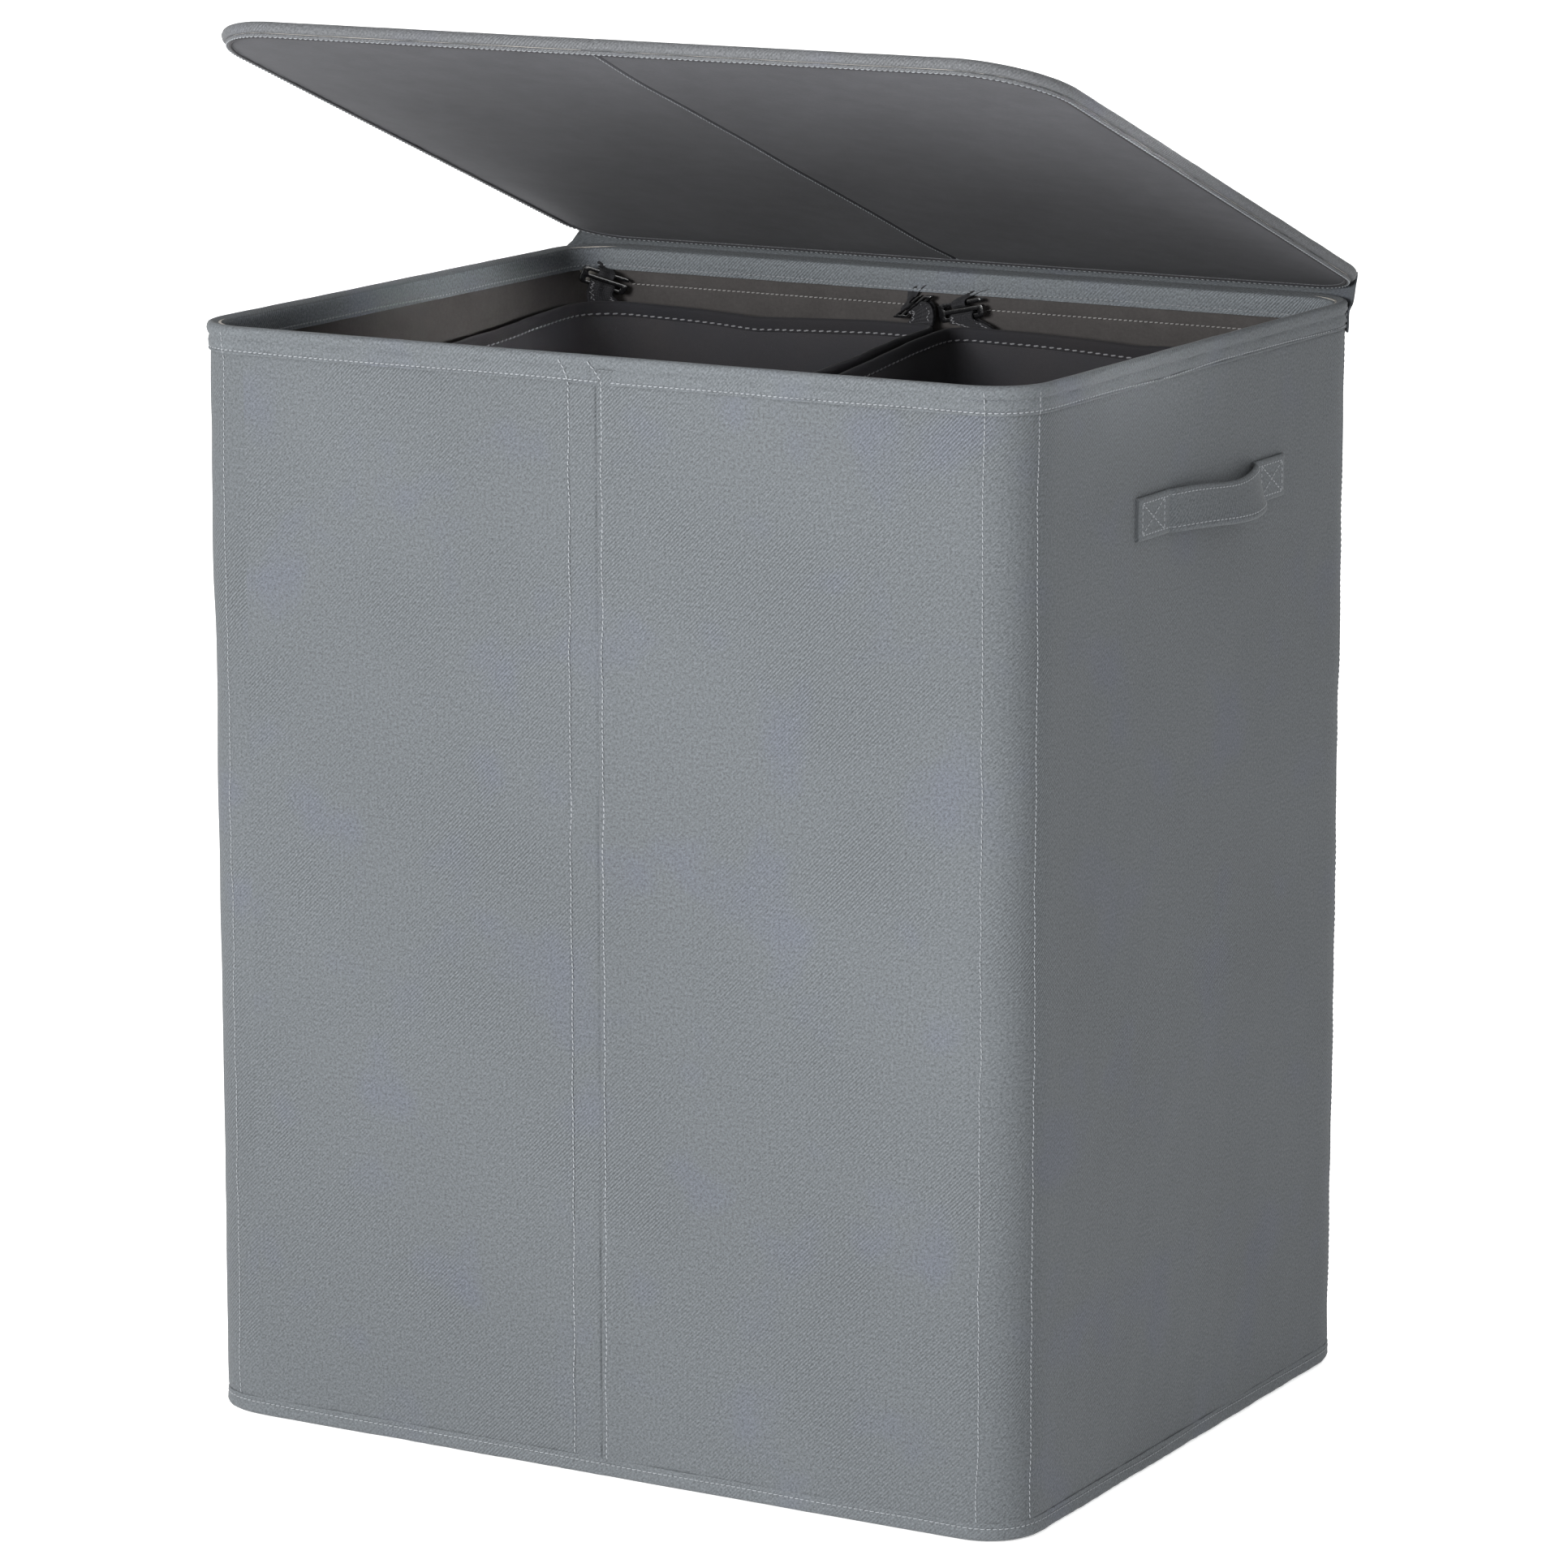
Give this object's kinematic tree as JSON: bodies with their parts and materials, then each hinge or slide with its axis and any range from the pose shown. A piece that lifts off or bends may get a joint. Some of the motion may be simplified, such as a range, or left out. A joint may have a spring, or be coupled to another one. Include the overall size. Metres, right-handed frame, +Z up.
{
  "type": "laundry hamper with lid",
  "caption": "Rectangular fabric laundry hamper with board-stiffened walls, a fabric-hinged lid, hanging liner bags inside and a strap handle on each end.",
  "frame": {"origin": "centre of the hamper's underside, on the floor", "axes": "+Z up, front of the hamper towards -Y, +X to the right seen from the front; the lid is hinged along the rear rim and stands part open at rest"},
  "size_m": [0.5632, 0.4428, 0.8113],
  "materials": {
    "outer_fabric": "grey twill polyester, matte",
    "lining_fabric": "dark grey non-woven lining, matte",
    "lid_binding": "light grey rolled edge binding, matte",
    "liner_fabric": "charcoal plain-weave liner cloth, slightly satin",
    "webbing": "black ribbed webbing, matte",
    "clip_plastic": "glossy black moulded plastic",
    "board_plastic": "plain stiffener board, hidden between the fabric layers"
  },
  "bodies": {
    "shell": {"base_board": "lining_fabric", "base_fabric": "outer_fabric", "bottom_binding": "outer_fabric", "corner_stay_front_left": "board_plastic", "corner_stay_front_right": "board_plastic", "corner_stay_rear_left": "board_plastic", "corner_stay_rear_right": "board_plastic", "front_board_left": "board_plastic", "front_board_right": "board_plastic", "front_fold_strip": "webbing", "handle_left_front_patch": "outer_fabric", "handle_left_rear_patch": "outer_fabric", "handle_right_front_patch": "outer_fabric", "handle_right_rear_patch": "outer_fabric", "left_board": "board_plastic", "lining": "lining_fabric", "loop_left_front_centre": "webbing", "loop_left_front_outer": "webbing", "loop_left_rear_centre": "webbing", "loop_left_rear_outer": "webbing", "loop_right_front_centre": "webbing", "loop_right_front_outer": "webbing", "loop_right_rear_centre": "webbing", "loop_right_rear_outer": "webbing", "outer_cover": "outer_fabric", "rear_board_left": "board_plastic", "rear_board_right": "board_plastic", "rear_fold_strip": "webbing", "right_board": "board_plastic", "top_binding": "outer_fabric", "wall_hinge_tape": "outer_fabric"},
    "lid": {"lid_board_left": "board_plastic", "lid_board_right": "board_plastic", "lid_cover": "outer_fabric", "lid_edge_binding": "lid_binding", "lid_fold_strip": "webbing", "lid_hinge_tape": "outer_fabric", "lid_lining": "lining_fabric"},
    "liner_left": {"liner_left_bag": "liner_fabric", "liner_left_hem": "liner_fabric", "clip_left_front_centre": "clip_plastic", "clip_left_front_outer": "clip_plastic", "clip_left_rear_centre": "clip_plastic", "clip_left_rear_outer": "clip_plastic", "strap_left_front_centre": "webbing", "strap_left_front_outer": "webbing", "strap_left_rear_centre": "webbing", "strap_left_rear_outer": "webbing"},
    "liner_right": {"liner_right_bag": "liner_fabric", "liner_right_hem": "liner_fabric", "clip_right_front_centre": "clip_plastic", "clip_right_front_outer": "clip_plastic", "clip_right_rear_centre": "clip_plastic", "clip_right_rear_outer": "clip_plastic", "strap_right_front_centre": "webbing", "strap_right_front_outer": "webbing", "strap_right_rear_centre": "webbing", "strap_right_rear_outer": "webbing"},
    "handle_left": {"handle_left_grip": "outer_fabric"},
    "handle_right": {"handle_right_grip": "outer_fabric"}
  },
  "joints": [
    {"name": "lid_hinge", "type": "hinge", "parent": "shell", "child": "lid", "pos_m": [0, 0.224, 0.645], "axis": [-1, 0, 0], "range_deg": [-20.6, 247]},
    {"name": "liner_left_lift", "type": "slide", "parent": "shell", "child": "liner_left", "axis": [0, 0, 1], "range_m": [0, 0.008], "deforming": ["loop_left_front_centre", "loop_left_front_outer", "loop_left_rear_centre", "loop_left_rear_outer"]},
    {"name": "liner_right_lift", "type": "slide", "parent": "shell", "child": "liner_right", "axis": [0, 0, 1], "range_m": [0, 0.008], "deforming": ["loop_right_front_centre", "loop_right_front_outer", "loop_right_rear_centre", "loop_right_rear_outer"]},
    {"name": "handle_left_lift", "type": "hinge", "parent": "shell", "child": "handle_left", "pos_m": [-0.266, 0.012, 0.5625], "axis": [0, 1, 0], "range_deg": [0, 45]},
    {"name": "handle_right_lift", "type": "hinge", "parent": "shell", "child": "handle_right", "pos_m": [0.266, 0.012, 0.5625], "axis": [0, -1, 0], "range_deg": [0, 45]}
  ]
}
